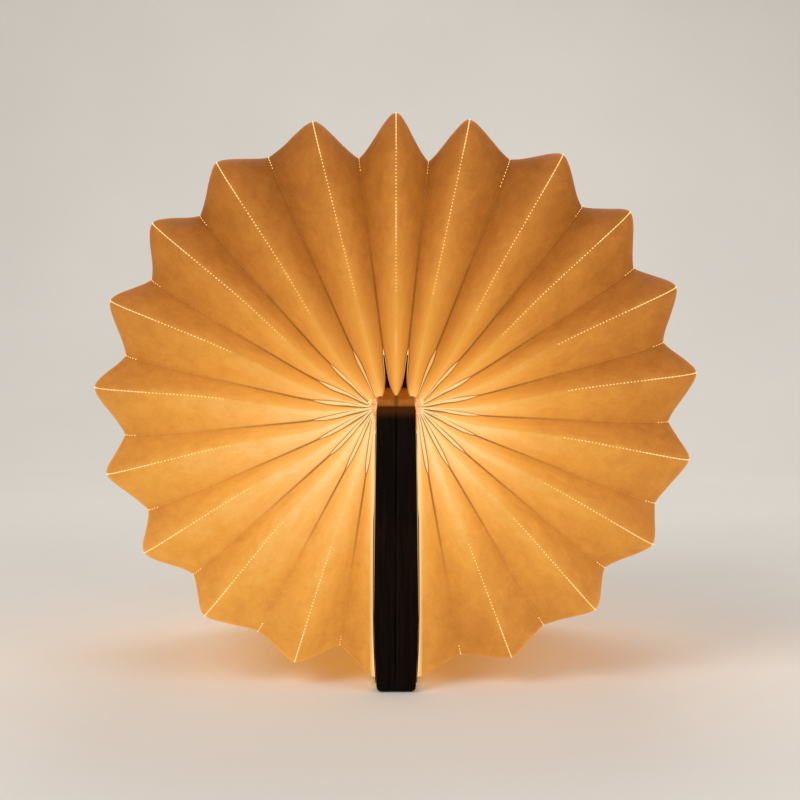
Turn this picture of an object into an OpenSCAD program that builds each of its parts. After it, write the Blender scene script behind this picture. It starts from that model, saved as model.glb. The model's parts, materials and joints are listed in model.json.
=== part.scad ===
// Folding book lamp, opened right round: the two wooden covers stand back to back and
// the pleated paper between them makes a lantern. A light bar lies along the spine.
// X runs across the covers, Y along the spine from front to rear, and Z up.
// The origin is on the table, under the middle of the covers' standing edges.

/* [Covers] */
// Height of a cover, from its standing edge to its hinge edge
cover_h = 90; // [86:0.5:94]
// Length of a cover along the spine
cover_l = 122; // [118:0.5:126]
// Thickness of a cover at its hinge edge
cover_t = 6; // [5.6:0.1:6.1]
// How much thicker a cover is where its paper side swells most
cover_swell = 1; // [0.6:0.1:1.2]
// Height of the fullest part of that swelling
swell_z = 26; // [22:1:34]
// Radius of the cover's four corners, seen from its face
corner_r = 3; // [2:0.5:4]
// Bevel round a cover's front and rear ends
end_bevel = 0.7; // [0.4:0.1:1]
// Slit between the two covers, back to back
back_slit = 0.1; // [0.1:0.05:0.2]

/* [Magnets] */
// Radius of the magnets that hold the covers together
magnet_r = 4; // [3:0.5:5]
// Thickness of those magnets
magnet_t = 3.6; // [2:0.2:4]
// Wood left between a magnet and the cover's back
magnet_skin = 1.2; // [0.8:0.1:1.4]
// Height of the magnets above the standing edge
magnet_z = 10; // [8:0.5:14]
// Distance of the magnets from the middle of the spine
magnet_y = 48; // [40:1:52]
// Radius of the small magnet that tells the lamp it is shut
sensor_magnet_r = 2; // [1.5:0.1:2.4]
// Thickness of that magnet
sensor_magnet_t = 1.8; // [1:0.1:2]

/* [Hinges] */
// Gap between a cover's hinge edge and the spine strip
hinge_gap = 0.3; // [0.2:0.05:0.5]
// Least distance of each hinge line outside its cover's paper side
hinge_out = 0.45; // [0.4:0.05:0.9]
// Height of the hinge lines above the top of the spine strip
hinge_rise = 0.1; // [0:0.05:0.3]
// Thickness of the hinge cloth
cloth_t = 0.3; // [0.2:0.05:0.4]
// Width of hinge cloth glued to each cover
cloth_w = 8; // [6:0.5:10]
// Radius of the cloth's rolled edge, which each cover turns on
roll_r = 0.7; // [0.4:0.05:0.75]
// Clearance between that rolled edge and the spine
roll_gap = 0.1; // [0.05:0.05:0.2]

/* [Paper shade] */
// Number of loose pleats on each side of the top one
side_pleats = 9; // [9]
// Thickness of the paper
paper_t = 0.25; // [0.2:0.05:0.3]
// Width of the folded band of paper at the top, from ridge to valley
band_w = 16.3; // [16:0.1:17]
// Width of that band beside the covers, where the paper's own weight opens it
low_band_w = 14.4; // [14:0.1:16]
// How far the valleys at the sides sag, in degrees
valley_sag = 1.9; // [0:0.1:2]
// How far the fullest ridges stop short of a cover's standing edge
page_rise = 3.3; // [3.1:0.1:4.5]
// How far the shade stops short of the covers at the front and rear
page_inset = 1; // [0.6:0.1:3]
// Radius of a ridge's corner
ridge_corner = 9.5; // [8:0.5:11]
// Radius of a valley's corner
valley_corner = 7.5; // [6:0.5:9]
// Gap left between neighbouring pleats along a valley
valley_gap = 0.24; // [0.16:0.02:0.3]
// Distance from the root at which the front of a pleat starts
front_start = 2.8; // [2.7:0.1:4]
// Distance from the root at which the rear of a pleat starts, clear of the socket
rear_start = 4.4; // [4.2:0.1:5]
// Distance from the root at which the open slit beside a pleat's front ends
slit_end = 19.5; // [18:0.5:24]
// Width of that slit, short of its end
slit_w = 1; // [0.4:0.1:1.4]

/* [Light bar] */
// Thickness of the spine strip
strip_t = 1; // [0.8:0.1:1.4]
// Depth of the crease down the middle of the spine's leather
crease = 0.35; // [0.2:0.05:0.6]
// Distance of the light bar from the front of the shade
bar_front = 22; // [21:0.5:25]
// Distance of the light bar from the rear of the shade, which leaves room for the socket
bar_rear = 18; // [16:0.5:20]
// Width of the light bar
bar_w = 11.4; // [11:0.1:11.6]
// Height of the tray's walls
tray_h = 6.6; // [6.4:0.1:7]
// Height of the diffuser over the tray
diffuser_h = 7.4; // [5:0.1:7.6]
// Height of the ramp before the light bar, over the spine strip
ramp_h = 3.7; // [3.6:0.1:4]
// Height of the ramp's front edge
ramp_toe = 0.8; // [0.7:0.1:1.2]
// Wall of the tray and of the diffuser
bar_wall = 0.9; // [0.8:0.05:1]
// Thickness of the plates that close the bar's ends
cap_t = 1; // [0.8:0.1:1.4]
// Lamps in each of the two rows
lamps_per_row = 12; // [8:1:12]
// Distance from the end of the lit board to the middle of the first lamp
lamp_margin = 5.4; // [3:0.1:8]
// Length of the light bar that the battery cell leaves free
cell_room = 30; // [29:1:40]
// Thickness of the battery cell
cell_t = 4.2; // [3.6:0.1:4.3]

/* [Charging socket] */
// Width of the socket's shell
socket_w = 8.94; // [8.9:0.01:9]
// Height of the socket's shell
socket_h = 3.16; // [3.1:0.01:3.2]
// Depth of the socket's shell
socket_d = 7.4; // [7:0.1:8]

/* [Hidden] */
$fn = 48;
SIDES = [1 : side_pleats];

// Colours
WALNUT = "#4a2c18";
PAPER = "#f2d9a2";
CREAM = "#e8d3ad";
LEATHER = "#6b3d1e";
DARK_PLASTIC = "#2a211c";
OPAL = "#f6efe0";

// Small clearance round a piece that sits in another
fit = 0.05;

// Each hinge line stands clear of the light bar and of its cover
hinge_x = max(bar_w / 2 + roll_gap + roll_r, back_slit / 2 + cover_t + hinge_out);

// Heights, upwards from the covers' hinge edges
strip_z = cover_h + hinge_gap;
strip_top = strip_z + strip_t;
hinge_z = strip_top + hinge_rise;
tape_t = 0.3;
bar_z = strip_top + tape_t;
tray_top = bar_z + tray_h;
bar_top = tray_top + diffuser_h;

// Places along the spine
shade_l = cover_l - 2 * page_inset;
bar_y0 = -shade_l / 2 + bar_front;
bar_y1 = shade_l / 2 - bar_rear;
bar_l = bar_y1 - bar_y0;
nose_y = shade_l / 2 + 0.4;

// ---- Covers ----

edge_round = 2;
back_round = 0.6;
profile_steps = 16;

// Distance of a cover's paper side from the slit's middle plane, at height z: two arcs
// that meet level at the fullest part
function bump(z) = 1 - pow((z - swell_z) / (z < swell_z ? swell_z : cover_h - swell_z), 2);
function face_x(z) = back_slit / 2 + cover_t + cover_swell * bump(max(0, min(z, cover_h)));

// Outline of a cover seen from its end, drawn in by `inset` all round
function cover_outline(inset) = let (
    x0 = back_slit / 2 + inset,
    z0 = inset,
    z1 = cover_h - inset,
    r = edge_round,
    b = back_round)
    concat(
        [for (a = [180 : 30 : 270]) [x0 + b + b * cos(a), z0 + b + b * sin(a)]],
        [for (a = [-90 : 18 : 0]) [face_x(r) - inset - r + r * cos(a), z0 + r + r * sin(a)]],
        [for (i = [1 : profile_steps - 1])
            let (z = edge_round + (cover_h - 2 * edge_round) * i / profile_steps)
            [face_x(z) - inset, z]],
        [for (a = [0 : 30 : 90]) [face_x(z1) - inset - b + b * cos(a), z1 - b + b * sin(a)]],
        [for (a = [90 : 30 : 180]) [x0 + b + b * cos(a), z1 - b + b * sin(a)]]);

// A slice of an outline in X and Z, from y0 over a length l
module slice(outline, y0, l) {
    translate([0, y0 + l, 0])
        rotate([90, 0, 0])
            linear_extrude(l)
                polygon(outline);
}

// Rounded rectangle in Y and Z, as a block that trims a cover's corners
module face_block(l, z0, z1, r) {
    w = 2 * cover_t + 8;
    rotate([90, 0, 90])
        linear_extrude(w)
            union() {
                translate([-l / 2, z0 + r]) square([l, z1 - z0 - 2 * r]);
                translate([-l / 2 + r, z0]) square([l - 2 * r, z1 - z0]);
                for (y = [-1, 1], z = [z0 + r, z1 - r])
                    translate([y * (l / 2 - r), z]) circle(r);
            }
}

module board_blank() {
    thin = 0.02;
    intersection() {
        hull() {
            slice(cover_outline(0), -cover_l / 2 + end_bevel, cover_l - 2 * end_bevel);
            slice(cover_outline(end_bevel), -cover_l / 2, thin);
            slice(cover_outline(end_bevel), cover_l / 2 - thin, thin);
        }
        face_block(cover_l, 0, cover_h, corner_r);
    }
}

magnet_x = back_slit / 2 + magnet_skin;
sensor_y = bar_y1 - 8;
sensor_z = 2 * hinge_z - (tray_top - 2.6);
sensor_pocket_x = face_x(sensor_z) - sensor_magnet_t - 0.4;

// A walnut board with blind pockets for its magnets, drilled from the paper side
module board(with_sensor) {
    color(WALNUT)
    difference() {
        board_blank();
        for (y = [-1, 0, 1])
            translate([magnet_x, y * magnet_y, magnet_z])
                rotate([0, 90, 0])
                    cylinder(r = magnet_r + fit, h = cover_t + cover_swell);
        if (with_sensor)
            translate([sensor_pocket_x, sensor_y, sensor_z])
                rotate([0, 90, 0])
                    cylinder(r = sensor_magnet_r + fit, h = cover_t);
    }
}

module magnets() {
    color("silver")
    for (y = [-1, 0, 1])
        translate([magnet_x + fit, y * magnet_y, magnet_z])
            rotate([0, 90, 0])
                cylinder(r = magnet_r, h = magnet_t);
}

module sensor_magnet() {
    color("silver")
    translate([sensor_pocket_x + fit, sensor_y, sensor_z])
        rotate([0, 90, 0])
            cylinder(r = sensor_magnet_r, h = sensor_magnet_t);
}

// Sheet that lies on a cover's paper side, from height z0 to z1, over a film of glue
glue_t = 0.05;
module facing(z0, z1, t, l) {
    steps = 14;
    zs = [for (i = [0 : steps]) z0 + (z1 - z0) * i / steps];
    slice(concat(
        [for (z = zs) [face_x(z) + glue_t, z]],
        [for (i = [steps : -1 : 0]) [face_x(zs[i]) + glue_t + t, zs[i]]]), -l / 2, l);
}

cloth_z = cover_h - cloth_w;
cloth_top = cover_h - 0.8;

// Paper leaf glued over a cover's whole inner side, below the hinge cloth
module lining() {
    color(CREAM)
    intersection() {
        facing(edge_round, cloth_z - 0.2, paper_t, shade_l - 1);
        face_block(shade_l - 1, edge_round, cover_h + corner_r, corner_r);
    }
}

// Cloth glued to a cover's inner side, with the rolled edge that the cover turns on
module hinge_cloth() {
    l = shade_l - 0.4;
    color(CREAM)
    union() {
        facing(cloth_z, cloth_top, cloth_t, l);
        slice([
            [face_x(cloth_top) + glue_t, cloth_top - 0.01],
            [face_x(cloth_top) + glue_t + cloth_t, cloth_top - 0.01],
            [hinge_x + 0.15, hinge_z],
            [hinge_x - 0.15, hinge_z]], -l / 2, l);
        translate([hinge_x, l / 2, hinge_z])
            rotate([90, 0, 0])
                cylinder(r = roll_r, h = l);
    }
}

// ---- Spine strip and light bar ----

strip_w = 2 * (hinge_x - roll_r - roll_gap);

// V-shaped groove for the leather's crease, along Y from the origin over a length l. Its
// walls run on past the surface that it cuts.
module crease_groove(l) {
    past = 0.1;
    translate([0, l + 1, 0])
        rotate([90, 0, 0])
            linear_extrude(l + 2)
                polygon([[-crease - past, past], [crease + past, past], [0, -crease]]);
}

// Leather-covered strip along the spine, creased down its middle
module spine_strip() {
    color(LEATHER)
    translate([0, -shade_l / 2, strip_z])
        difference() {
            translate([-strip_w / 2, 0, 0]) cube([strip_w, shade_l, strip_t]);
            translate([0, 0, strip_t]) crease_groove(shade_l);
        }
}

// Leather-covered wedge on the strip that rises to the light bar's front plate and hides
// its two screws
module front_ramp() {
    ramp_l = bar_front - cap_t - head_t - roll_gap;
    slope = atan2(ramp_h - ramp_toe, ramp_l);
    color(LEATHER)
    translate([0, -shade_l / 2, strip_top])
        difference() {
            translate([-strip_w / 2, 0, 0])
                rotate([90, 0, 90])
                    linear_extrude(strip_w)
                        polygon([[0, 0], [ramp_l, 0], [ramp_l, ramp_h], [0, ramp_toe]]);
            translate([0, 0, ramp_toe])
                rotate([slope, 0, 0])
                    crease_groove(ramp_l + 2);
        }
}

module bar_tape() {
    color("dimgray")
    translate([-bar_w / 2 + 1, bar_y0 + 1, strip_top])
        cube([bar_w - 2, bar_l - 2, tape_t]);
}

floor_t = 0.8;
board_t = 0.8;
led_z = tray_top - board_t - 0.1;
ledge_t = 0.45;
inner_w = bar_w - 2 * bar_wall;
bay_w = inner_w - 2 * ledge_t;
boss = 2.2;
screw_x = inner_w / 2 - boss / 2 - ledge_t;
screw_z = bar_z + floor_t + boss / 2;
pilot_r = 0.55;
boss_l = 5;

// Channel that carries the cell and both circuit boards
module bar_tray() {
    color(DARK_PLASTIC)
    difference() {
        union() {
            difference() {
                translate([-bar_w / 2, bar_y0, bar_z]) cube([bar_w, bar_l, tray_h]);
                translate([-bay_w / 2, bar_y0 - 1, bar_z + floor_t])
                    cube([bay_w, bar_l + 2, tray_h]);
                translate([-inner_w / 2, bar_y0 - 1, led_z])
                    cube([inner_w, bar_l + 2, tray_h]);
            }
            for (x = [-1, 1], y = [bar_y0, bar_y1 - boss_l])
                translate([x * screw_x - boss / 2, y, bar_z + floor_t / 2])
                    cube([boss, boss_l, boss + floor_t / 2]);
        }
        for (x = [-1, 1], y = [bar_y0 - 1, bar_y1 - boss_l + 1])
            translate([x * screw_x, y + boss_l, screw_z])
                rotate([90, 0, 0])
                    cylinder(r = pilot_r, h = boss_l);
    }
}

diffuser_round = 1.6;

// Outline of the diffuser's outside or inside, in X and Z
module diffuser_outline(w, h, r) {
    translate([-w / 2, 0]) square([w, h - r]);
    translate([-w / 2 + r, 0]) square([w - 2 * r, h]);
    for (x = [-1, 1])
        translate([x * (w / 2 - r), h - r]) circle(r);
}

// Opal cover over the lamps, rounded along its top
module bar_diffuser() {
    color(OPAL)
    translate([0, bar_y1, tray_top])
        rotate([90, 0, 0])
            linear_extrude(bar_l)
                difference() {
                    diffuser_outline(bar_w, diffuser_h, diffuser_round);
                    translate([0, -0.5])
                        diffuser_outline(bar_w - 2 * bar_wall, diffuser_h - bar_wall + 0.5,
                            diffuser_round - bar_wall / 2);
                }
}

// Outline of both end plates, as wide and high as the bar
module cap_outline() {
    translate([0, bar_z]) diffuser_outline(bar_w, bar_top - bar_z, diffuser_round);
}

head_r = 1;
head_t = 0.6;
screw_r = 0.5;
screw_l = 4;

// Holes for a cap's two screws, along the plate's thickness
module cap_holes() {
    for (x = [-1, 1])
        translate([x * screw_x, screw_z]) circle(screw_r + 0.1);
}

module front_cap() {
    color(DARK_PLASTIC)
    translate([0, bar_y0, 0])
        rotate([90, 0, 0])
            linear_extrude(cap_t)
                difference() {
                    cap_outline();
                    cap_holes();
                }
}

nose_wall = 0.65;
nose_w = socket_w + 2 * (nose_wall + fit);
nose_h = socket_h + 2 * (nose_wall + fit);
socket_z = bar_z + nose_wall + fit;

// Rear plate of the bar with the flat nose that holds the charging socket at the end
// of the spine
module socket_housing() {
    color(DARK_PLASTIC)
    difference() {
        union() {
            translate([0, bar_y1 + cap_t, 0])
                rotate([90, 0, 0])
                    linear_extrude(cap_t)
                        difference() {
                            cap_outline();
                            cap_holes();
                        }
            translate([-nose_w / 2, bar_y1 + cap_t + head_t + 0.2, bar_z])
                cube([nose_w, nose_y - bar_y1 - cap_t - head_t - 0.2, nose_h]);
            translate([-screw_x + head_r + 0.2, bar_y1 + cap_t / 2, bar_z])
                cube([2 * (screw_x - head_r - 0.2), 2 * cap_t, nose_h]);
        }
        translate([-socket_w / 2 - fit, bar_y1 + cap_t + head_t + 1.2, socket_z - fit])
            cube([socket_w + 2 * fit, nose_y, socket_h + 2 * fit]);
        translate([-throat_w / 2, bar_y1 - 1, socket_z - fit])
            cube([throat_w, nose_y - bar_y1, socket_h + 2 * fit]);
    }
}

throat_w = 2 * (screw_x - head_r) - 1.4;

// Four pan-head screws that hold the two end plates to the tray's bosses
module cap_screws() {
    color("silver")
    for (x = [-1, 1], end = [0, 1])
        translate([x * screw_x, end == 0 ? bar_y0 - cap_t : bar_y1 + cap_t, screw_z])
            rotate([end == 0 ? 90 : -90, 0, 0]) {
                difference() {
                    cylinder(r = head_r, h = head_t);
                    translate([-head_r, -0.12, head_t - 0.25]) cube([2 * head_r, 0.24, 1]);
                }
                translate([0, 0, -screw_l]) cylinder(r = screw_r, h = screw_l);
            }
}

// ---- Inside the bar ----

led_w = inner_w - 0.2;
led_l = bar_l - 1;

module led_board() {
    color("white")
    translate([-led_w / 2, bar_y0 + (bar_l - led_l) / 2, led_z])
        cube([led_w, led_l, board_t]);
}

lamp_size = [2.8, 3.5, 0.7];
lamp_pitch = (led_l - 2 * lamp_margin) / (lamps_per_row - 1);

// Two rows of small square lamps on the upper board
module lamps() {
    color("#ffd76a")
    for (x = [-1, 1], i = [0 : lamps_per_row - 1])
        translate([x * led_w / 4, bar_y0 + (bar_l - led_l) / 2 + lamp_margin + i * lamp_pitch,
                led_z + board_t + lamp_size[2] / 2])
            cube(lamp_size, center = true);
}

pad_t = 0.3;
cell_w = bay_w - 0.3;
cell_l = bar_l - cell_room;
cell_y0 = bar_y0 + boss_l + 0.6;
cell_z = bar_z + floor_t + pad_t;

module battery_pad() {
    color("dimgray")
    translate([-cell_w / 2 + 1, cell_y0 + 2, bar_z + floor_t])
        cube([cell_w - 2, cell_l - 4, pad_t]);
}

// Flat pouch cell with rounded long edges and a sealed tab end
module battery_cell() {
    r = 1.2;
    color("#b9bec4")
    union() {
        translate([0, cell_y0 + cell_l, cell_z])
            rotate([90, 0, 0])
                linear_extrude(cell_l)
                    union() {
                        translate([-cell_w / 2, r]) square([cell_w, cell_t - 2 * r]);
                        translate([-cell_w / 2 + r, 0]) square([cell_w - 2 * r, cell_t]);
                        for (x = [-1, 1], z = [r, cell_t - r])
                            translate([x * (cell_w / 2 - r), z]) circle(r);
                    }
        translate([-cell_w / 2 + 1, cell_y0 + cell_l - 0.1, cell_z + cell_t / 2 - 0.3])
            cube([cell_w - 2, 1.3, 0.6]);
    }
}

control_t = 0.6;
control_z = socket_z + socket_h - control_t;
control_w = throat_w - 0.2;
control_y0 = cell_y0 + cell_l + 4;
socket_y0 = nose_y - socket_d;

// Lower board, from behind the cell to the back of the socket
module control_board() {
    color("darkgreen")
    translate([-control_w / 2, control_y0, control_z])
        cube([control_w, socket_y0 - 0.1 - control_y0, control_t]);
}

// Charger chip, coil and two capacitors under the board
module board_parts() {
    color("#1c1c1e")
    for (part = [[5, 2.6, 3, 0.9], [9.5, 2.2, 2.2, 1.4], [13, 1.2, 0.7, 0.6], [15, 1.2, 0.7, 0.6]])
        translate([-part[1] / 2, control_y0 + part[0], control_z - part[3]])
            cube([part[1], part[2], part[3]]);
}

// Four pins that join the two boards
module link_pins() {
    color("gold")
    for (i = [-1.5 : 1.5])
        translate([i * 0.9, control_y0 + 1.2, control_z + control_t])
            cylinder(r = 0.2, h = led_z - control_z - control_t);
}

// Magnetic sensor that lights the lamp when the left cover opens
module fold_sensor() {
    color("#1c1c1e")
    translate([-control_w / 2 + 0.2, sensor_y - 1, control_z + control_t])
        cube([1.6, 2, led_z - control_z - control_t - 0.3]);
}

shell_t = 0.3;
shell_r = 1.2;

// Outline of the socket's shell in X and Z
module socket_outline(shrink) {
    w = socket_w - 2 * shrink;
    h = socket_h - 2 * shrink;
    r = shell_r - shrink;
    translate([0, socket_z + shrink]) {
        translate([-w / 2, r]) square([w, h - 2 * r]);
        translate([-w / 2 + r, 0]) square([w - 2 * r, h]);
        for (x = [-1, 1], z = [r, h - r])
            translate([x * (w / 2 - r), z]) circle(r);
    }
}

module socket_shell() {
    color("silver")
    translate([0, nose_y, 0])
        rotate([90, 0, 0])
            union() {
                linear_extrude(socket_d)
                    difference() {
                        socket_outline(0);
                        socket_outline(shell_t);
                    }
                translate([0, 0, socket_d - 0.8])
                    linear_extrude(0.8) socket_outline(0);
            }
}

module socket_tongue() {
    tongue_w = 6.6;
    tongue_t = 0.7;
    color("#1c1c1e")
    translate([-tongue_w / 2, socket_y0 + 0.8, socket_z + socket_h / 2 - tongue_t / 2])
        cube([tongue_w, 5.2, tongue_t]);
}

lead_r = 0.35;

// One lead from the cell's tab up and over to the end of the lower board
module lead(x) {
    tab_y = cell_y0 + cell_l + 1.2;
    tab_z = cell_z + cell_t / 2;
    end_z = control_z + control_t / 2;
    bend = (control_y0 - tab_y) / 2;
    translate([x, tab_y, tab_z]) {
        rotate([-90, 0, 0]) cylinder(r = lead_r, h = bend);
        translate([0, bend, min(0, end_z - tab_z)])
            cylinder(r = lead_r, h = abs(end_z - tab_z));
        translate([0, bend, end_z - tab_z])
            rotate([-90, 0, 0]) cylinder(r = lead_r, h = bend);
        for (z = [0, end_z - tab_z])
            translate([0, bend, z]) sphere(r = lead_r);
    }
}

module red_lead() { color("firebrick") lead(-1.6); }
module black_lead() { color("#1c1c1e") lead(1.6); }

// ---- Pleated paper shade ----

// Pleats are numbered from the top one, 0, to the left as 1, 2, ... and to the right as
// -1, -2, ... The last number on each side is the half pleat glued to that cover.
// Each list gives how far a pleat leans from upright as the paper settled.
left_angles = [0, 14, 34, 52, 70, 88, 106, 124, 142, 163, 180];
right_angles = [0, 12, 31, 49, 67, 85, 103, 122, 140, 160, 180];
last = side_pleats + 1;
function ridge_angle(j) = j < 0 ? -right_angles[-j] : left_angles[j];

// Pleats rise from roots along the spine: one at the top, one beside it on each side,
// and the rest together over the hinge lines
root_z = hinge_z + 1.2;
ridge_reach = root_z - page_rise;
top_root_z = root_z + 0.3;
inner_root_x = 4.6;
outer_root_x = hinge_x + 0.1;
function root(j) =
    j == 0 ? [0, top_root_z] :
    abs(j) == 1 ? [-sign(j) * inner_root_x, (root_z + top_root_z) / 2] :
    [-sign(j) * outer_root_x, root_z];
function ray(angle) = [-sin(angle), cos(angle)];
function across(angle) = [-cos(angle), -sin(angle)];

// The folded band keeps its width: it stands deep and narrow at the root, and spreads
// sideways and gets shallower towards the rim. Where two ridges lie further apart, the
// valley between them is shallower. `spread` is half the angle between them.
mean_spread = 90 / last;
shallowest = 3;
mid_y = shade_l / 2 - band_w / 2;
function band_depth(r, spread, w) = sqrt(max(w * w - pow(r * sin(spread), 2), pow(shallowest, 2)));
function ridge_y(r) = mid_y + band_depth(r, mean_spread, band_w) / 2;
function spread(j, k) = abs(ridge_angle(j) - ridge_angle(k)) / 2;
function band(j, k) = band_w + (low_band_w - band_w) * abs(ridge_angle(j) + ridge_angle(k)) / 360;
function valley_reach(j, k) =
    ridge_reach * cos(spread(j, k)) - band_depth(ridge_reach, spread(j, k), band(j, k));

// A ridge or valley line as [reach, y] points: along the front end, round the corner, along
// the side, and back the same way along the rear. `end_reaches` are the stations along the
// ends between the start and the corner. Two of them make the slit's pointed tip.
slit_tip = 3;
end_reaches = [9, slit_end - slit_tip, slit_end, 48, 65];
corner_steps = 3;
function corner(reach, c, y_end) =
    [for (i = [0 : corner_steps])
        let (a = 90 - 90 * i / corner_steps)
        [reach - c + c * cos(a), y_end - c + c * sin(a)]];
function whole(front, rear, reach) = let (n = len(rear))
    concat(
        [for (p = front) [p[0], -p[1]]],
        [[reach, 0]],
        [for (i = [n - 1 : -1 : 0]) rear[i]]);
function ridge_half(start) =
    concat(
        [for (r = concat([start], end_reaches)) [r, ridge_y(r)]],
        corner(ridge_reach, ridge_corner, ridge_y(ridge_reach - ridge_corner)));
function valley_half(j, k, start) = let (
    reach = valley_reach(j, k),
    turn = reach - valley_corner)
    concat(
        [for (r = concat([start], end_reaches)) [r, ridge_y(r) - band_depth(r, spread(j, k), band(j, k))]],
        corner(reach, valley_corner, ridge_y(turn) - band_depth(turn, spread(j, k), band(j, k))));
ridge_line = whole(ridge_half(front_start), ridge_half(rear_start), ridge_reach);
function valley_line(j, k) =
    whole(valley_half(j, k, front_start), valley_half(j, k, rear_start), valley_reach(j, k));
stations = len(ridge_line);

// Point of pleat j's ridge at a station. The last ridge lies just over the cover's lining.
end_lift = 0.1;
function ridge_point(j, i) = let (
    r = ridge_line[i][0],
    q = root(j),
    z = q[1] + ray(ridge_angle(j))[1] * r,
    x = abs(j) == last
        ? -sign(j) * (face_x(z) + 2 * glue_t + cloth_t + end_lift)
        : q[0] + ray(ridge_angle(j))[0] * r)
    [x, ridge_line[i][1], z];

// Point of the valley between pleats j and k at a station
function valley_angle(j, k) = let (middle = (ridge_angle(j) + ridge_angle(k)) / 2)
    middle + valley_sag * sin(middle);
function valley_point(j, k, i) = let (
    q = (root(j) + root(k)) / 2,
    d = ray(valley_angle(j, k)),
    p = valley_line(j, k)[i])
    [q[0] + d[0] * p[0], p[1], q[1] + d[1] * p[0]];

// How far a pleat's front stays back from the middle of the slit beside it. A slit widens
// from a narrow root to its tip, and it starts wide only where the two roots lie apart.
// `tip_w` is the least half width of a pleat.
tip_w = 0.34;
root_fade = 3.2;
slit_narrow = 0.3;
function slit_half(j, k, i) = let (
    r = ridge_line[i][0],
    apart = norm(root(j) - root(k)) / 2)
    i > stations / 2 || r >= slit_end ? 0
    : apart * exp(-r / root_fade)
        + slit_w / 2 * (slit_narrow + (1 - slit_narrow) * r / slit_end);

// One flank of pleat j at a station, on the side of pleat k: its ridge point, its edge at
// the valley, and the same two points on the paper's inner face
function flank(j, k, i) = let (
    d = across(ridge_angle(j)),
    t3 = [d[0], 0, d[1]] * (k > j ? 1 : -1),
    m = ridge_point(j, i),
    w = valley_point(j, k, i) - m,
    t = w * t3,
    fall = w - t * t3,
    depth = norm(fall),
    edge_t = max(tip_w, t - valley_gap / 2 - slit_half(j, k, i)),
    lean = atan2(edge_t, depth))
    [m,
     m + edge_t * t3 + fall,
     m + fall / depth * paper_t / sin(lean),
     m + (edge_t - paper_t / cos(lean)) * t3 + fall,
     t3];

// Shape of a flank from ridge, u = 0, to valley, u = 1: a gentle S
flank_steps = [0.3, 0.68, 1];
function sway(u) = 0.6 * u + 0.4 * u * u * (3 - 2 * u);
function on_flank(a, b, t3, u) = let (w = b - a, t = w * t3)
    a + u * t * t3 + sway(u) * (w - t * t3);

// Cross-section of pleat j at a station: along its outer face and back along the inner
function section(j, i) = let (
    right = j > -last ? flank(j, j - 1, i) : flank(j, j + 1, i),
    left = j < last ? flank(j, j + 1, i) : flank(j, j - 1, i),
    inner_ridge = abs(j) == last ? right[2] : (right[2] + left[2]) / 2,
    n = len(flank_steps))
    concat(
        j > -last ? [for (s = [n - 1 : -1 : 0])
            on_flank(right[0], right[1], right[4], flank_steps[s])] : [],
        [right[0]],
        j < last ? [for (u = flank_steps) on_flank(left[0], left[1], left[4], u)] : [],
        j < last ? [for (s = [n - 1 : -1 : 0])
            on_flank(inner_ridge, left[3], left[4], flank_steps[s])] : [],
        [inner_ridge],
        j > -last ? [for (u = flank_steps) on_flank(inner_ridge, right[3], right[4], u)] : []);

// One pleat: a thin folded band swept round three sides of the page. Its outer and inner
// faces are split along the same diagonals, so that they keep their distance.
module pleat(j) {
    rings = [for (i = [0 : stations - 1]) section(j, i)];
    n = len(rings[0]);
    half = n / 2;
    walls = [for (i = [0 : stations - 2], k = [0 : n - 1])
        let (a = i * n + k, b = i * n + (k + 1) % n, c = b + n, d = a + n)
        each k < half ? [[a, b, c], [a, c, d]] : [[a, b, d], [b, c, d]]];
    front = [for (k = [0 : half - 2])
        each [[k + 1, k, n - 1 - k], [k + 1, n - 1 - k, n - 2 - k]]];
    e = (stations - 1) * n;
    rear = [for (k = [0 : half - 2])
        each [[e + k, e + k + 1, e + n - 1 - k], [e + k + 1, e + n - 2 - k, e + n - 1 - k]]];
    color(PAPER)
    polyhedron(points = [for (ring = rings) each ring], faces = concat(walls, front, rear));
}

// ---- Nodes ----

module left() { mirror([1, 0, 0]) children(); }

left() board(true);  // left_board
board(false);  // right_board
left() lining();  // left_lining
lining();  // right_lining
left() hinge_cloth();  // left_hinge_cloth
hinge_cloth();  // right_hinge_cloth
left() magnets();  // left_magnets
magnets();  // right_magnets
left() sensor_magnet();
spine_strip();
front_ramp();
bar_tape();
bar_tray();
bar_diffuser();
front_cap();
socket_housing();
cap_screws();
led_board();
lamps();
battery_cell();
battery_pad();
control_board();
board_parts();
link_pins();
fold_sensor();
socket_shell();
socket_tongue();
red_lead();
black_lead();
pleat(0);  // top_pleat
pleat(last);  // left_end_pleat
pleat(-last);  // right_end_pleat
for (j = SIDES) {
    pleat(j);
    pleat(-j);
}
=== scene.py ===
# %% [markdown]
# # A folding book lamp
# Two walnut covers are hinged on a spine that carries a light bar, and one pleated sheet
# of paper is glued between them. Opened right round, the covers stand back to back and
# the paper makes a round lantern. The solids come packed from the CAD source, already in
# place. This lesson loads them as a fixed frame and gives each surface its looks.

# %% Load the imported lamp
import json
import math

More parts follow.
